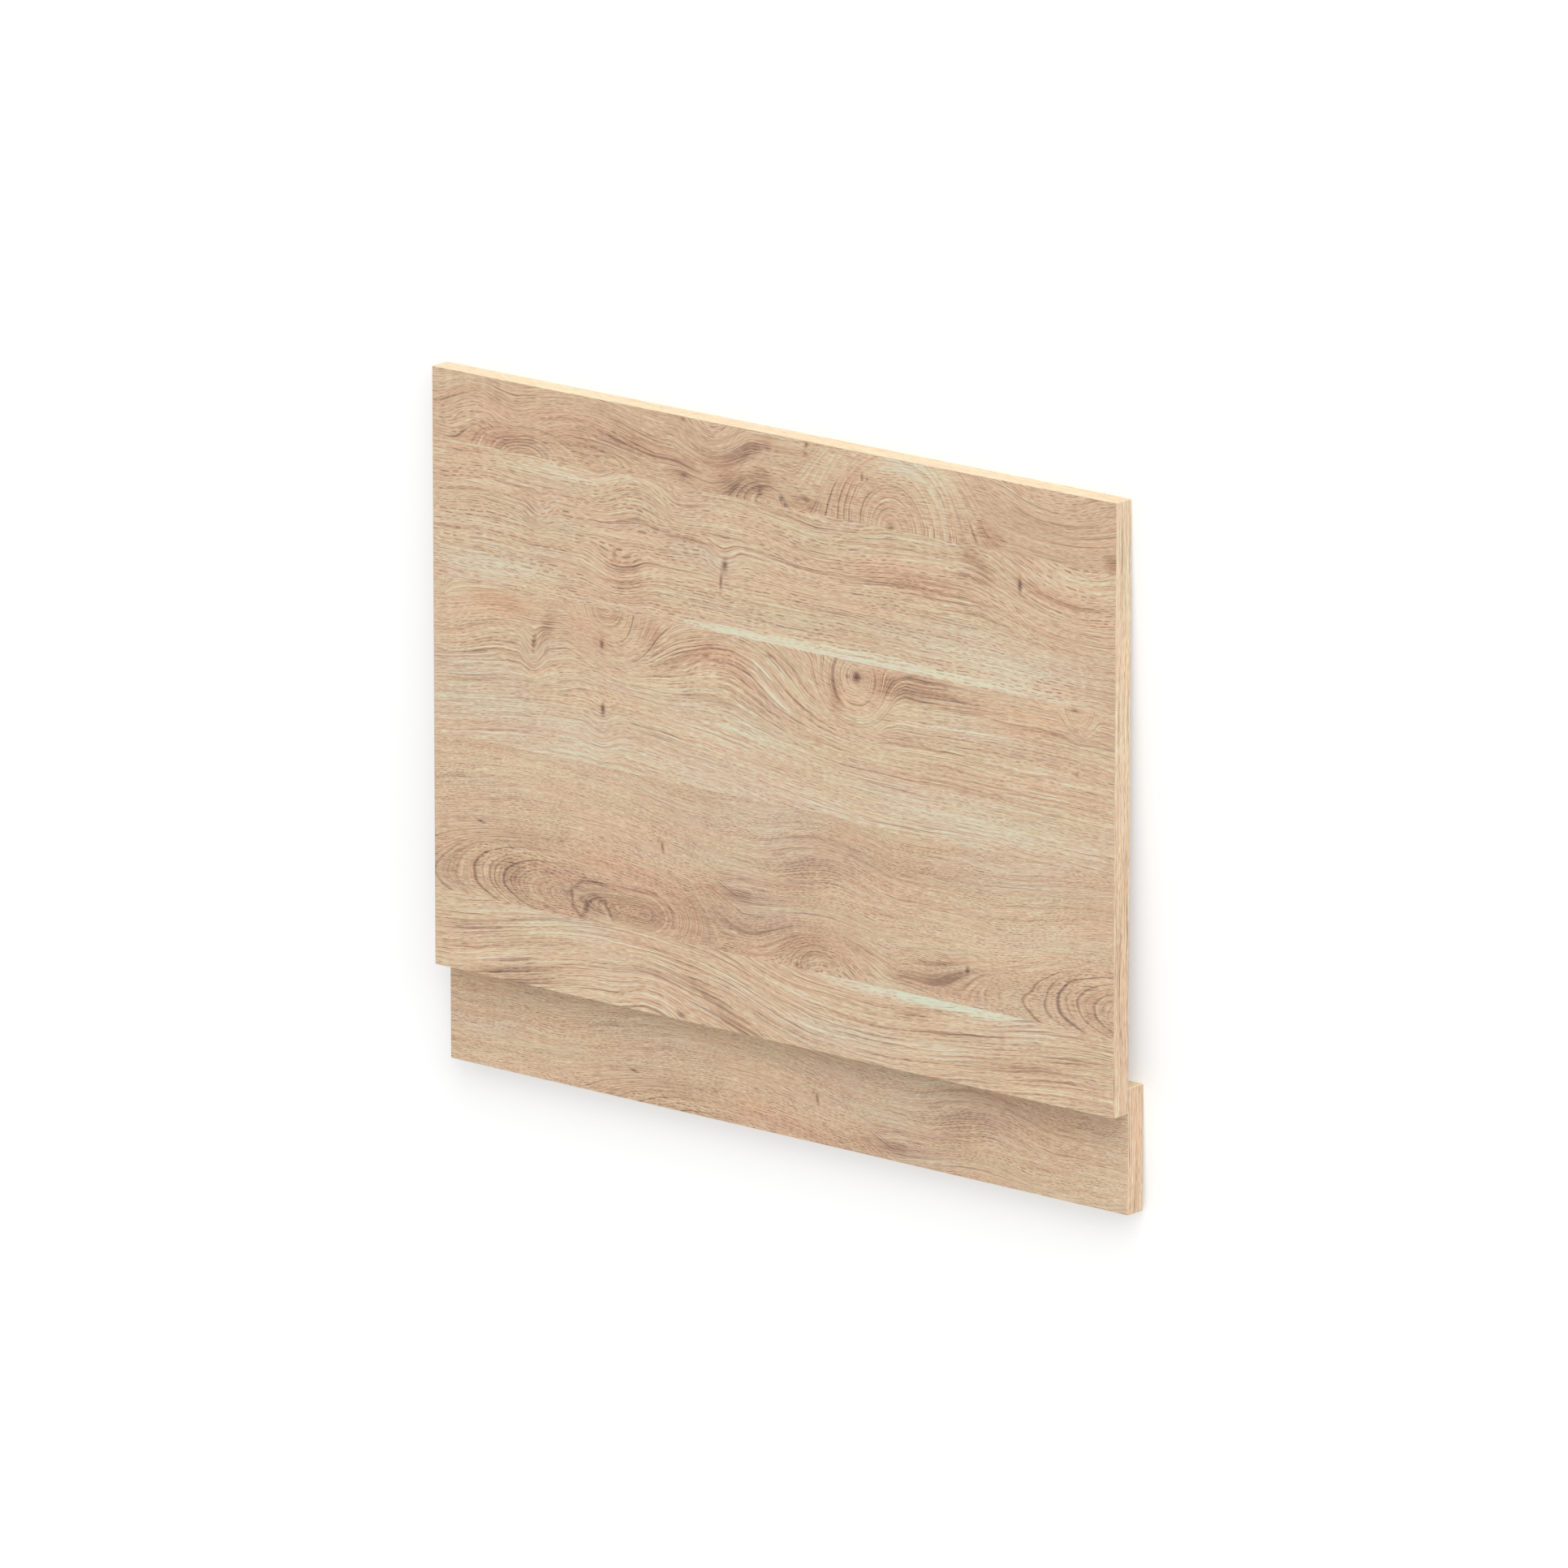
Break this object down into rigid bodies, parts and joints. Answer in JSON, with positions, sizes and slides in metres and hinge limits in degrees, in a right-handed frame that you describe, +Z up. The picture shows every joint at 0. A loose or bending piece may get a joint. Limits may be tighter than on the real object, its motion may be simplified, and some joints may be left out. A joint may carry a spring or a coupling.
{
  "type": "bath panel",
  "caption": "Flat wood-effect bath end panel with a lower plinth board set back behind its bottom edge, closing the end of a bath from rim to floor.",
  "frame": {"origin": "on the floor, below the middle of the part as it lies on its back", "axes": "+X along the boards' length, +Y towards the panel's top edge, +Z up from the floor, out of the panel's face; the boards lean about X by 2.24 degrees, as the plinth props them up"},
  "size_m": [0.68, 0.561, 0.0367],
  "materials": {
    "oak_board": "matte"
  },
  "bodies": {
    "root": {"panel": "oak_board", "plinth": "oak_board"}
  },
  "joints": []
}
